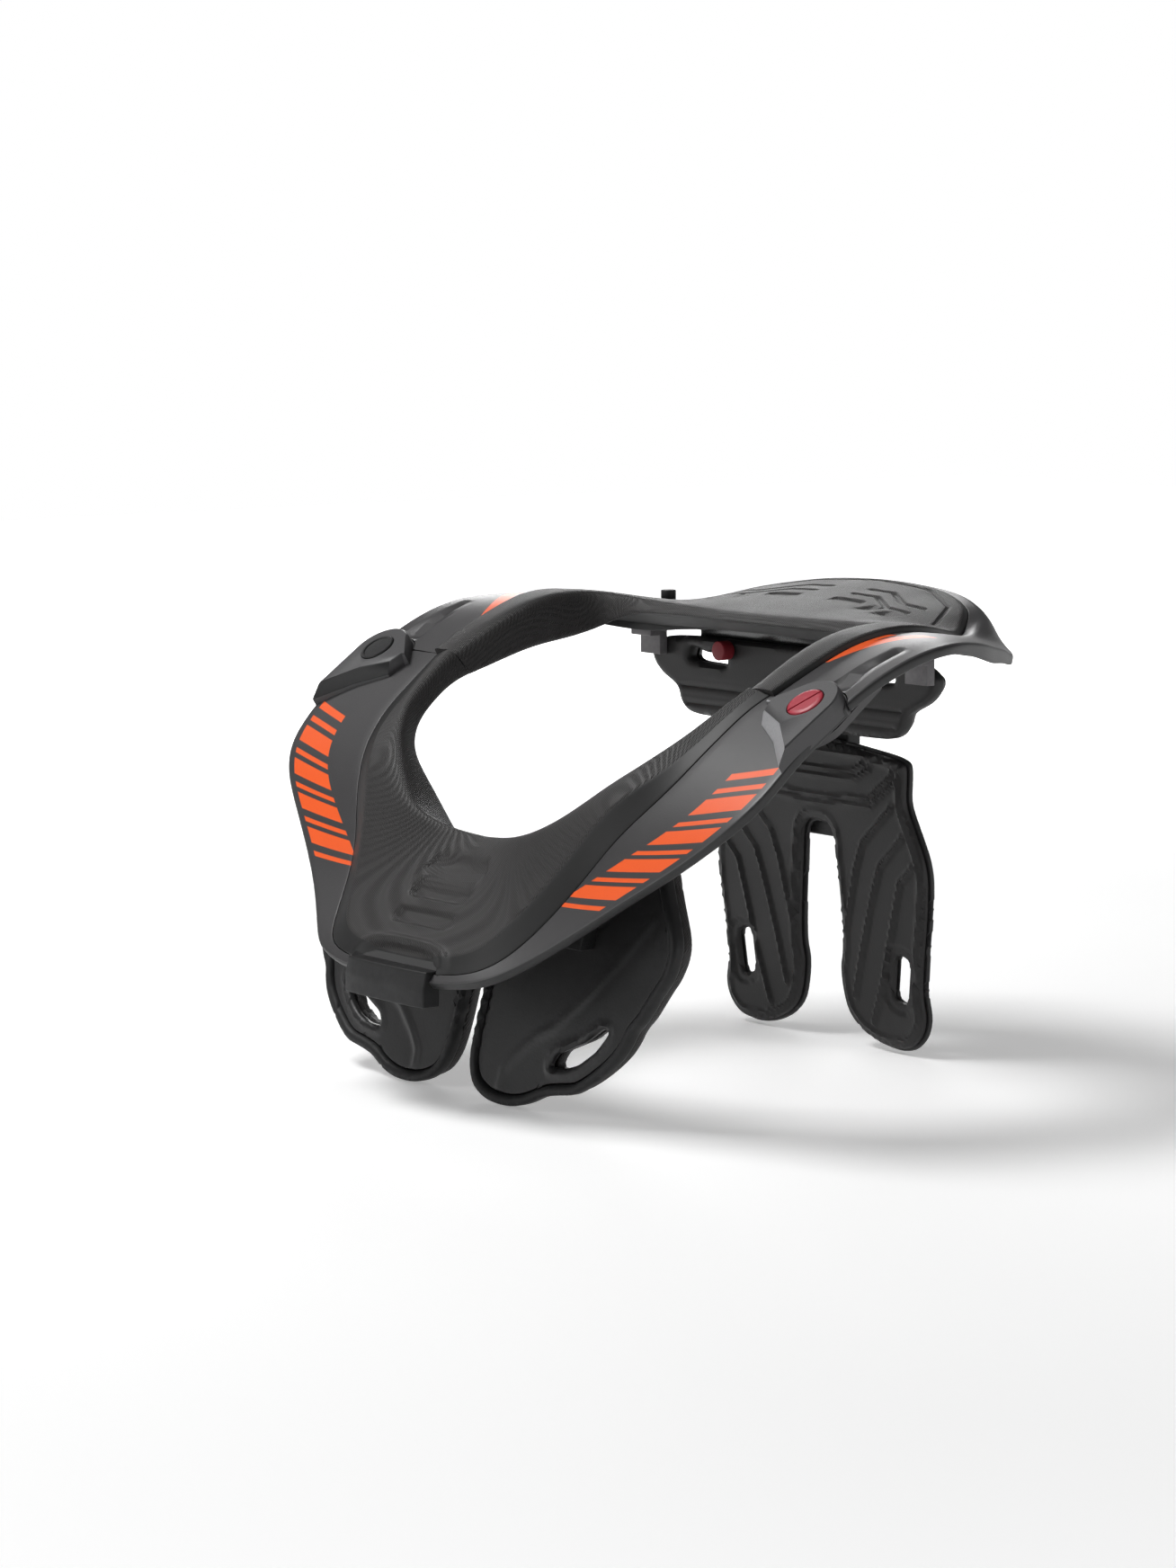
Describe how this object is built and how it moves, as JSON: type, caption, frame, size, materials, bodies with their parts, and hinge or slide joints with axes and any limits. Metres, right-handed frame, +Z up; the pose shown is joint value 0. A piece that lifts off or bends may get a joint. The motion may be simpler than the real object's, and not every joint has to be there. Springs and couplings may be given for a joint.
{
  "type": "motocross neck brace",
  "caption": "Hinged protective collar: padded front and rear tables round the neck hole, chest leaves, a saddle and a two-legged back strut.",
  "frame": {"origin": "on the ground plane under the four tips, midway between the front tab and the rear rim, on the middle plane", "axes": "+Z up, -Y to the wearer's chest, +X to the wearer's left"},
  "size_m": [0.2976, 0.2724, 0.1888],
  "materials": {
    "shell": "dark grey moulded shell with a satin shine and orange printed bands",
    "foam": "black moulded foam with a fine woven grain",
    "tab_rubber": "black rubber",
    "edge_rubber": "black rubber lip",
    "plate": "satin black plastic",
    "cover": "dark grey satin plastic",
    "cap_plastic": "black plastic",
    "red_plastic": "red satin plastic",
    "grey_plastic": "light grey plastic"
  },
  "bodies": {
    "rear_half": {"rear_shell": "shell", "rear_pad": "foam", "hinge_pin": "cap_plastic", "saddle_pad": "foam", "saddle_plate": "plate", "strut_pad": "foam", "strut_plate": "plate", "spine_post": "cap_plastic", "table_peg": "cap_plastic", "wing_bracket_left": "grey_plastic", "adjuster_left": "red_plastic", "wing_bracket_right": "grey_plastic", "adjuster_right": "red_plastic"},
    "front_half": {"front_shell": "shell", "front_pad": "foam", "front_tab": "tab_rubber", "hinge_cover_left": "cover", "hinge_cover_right": "cover", "chest_plate_left": "plate", "chest_rim_left": "edge_rubber", "chest_pad_left": "foam", "leaf_bracket_left": "cap_plastic", "chest_plate_right": "plate", "chest_rim_right": "edge_rubber", "chest_pad_right": "foam", "leaf_bracket_right": "cap_plastic"},
    "button": {"release_button": "red_plastic"}
  },
  "joints": [
    {"name": "front_swing", "type": "hinge", "parent": "rear_half", "child": "front_half", "pos_m": [-0.135, -0.03735, 0.1554], "axis": [0, 0.5592, -0.829], "range_deg": [0, 35]},
    {"name": "button_press", "type": "slide", "parent": "front_half", "child": "button", "axis": [0, 0.5592, -0.829], "range_m": [0, 0.0016], "stiffness_N_per_m": 600, "springref_m": -0.002}
  ]
}
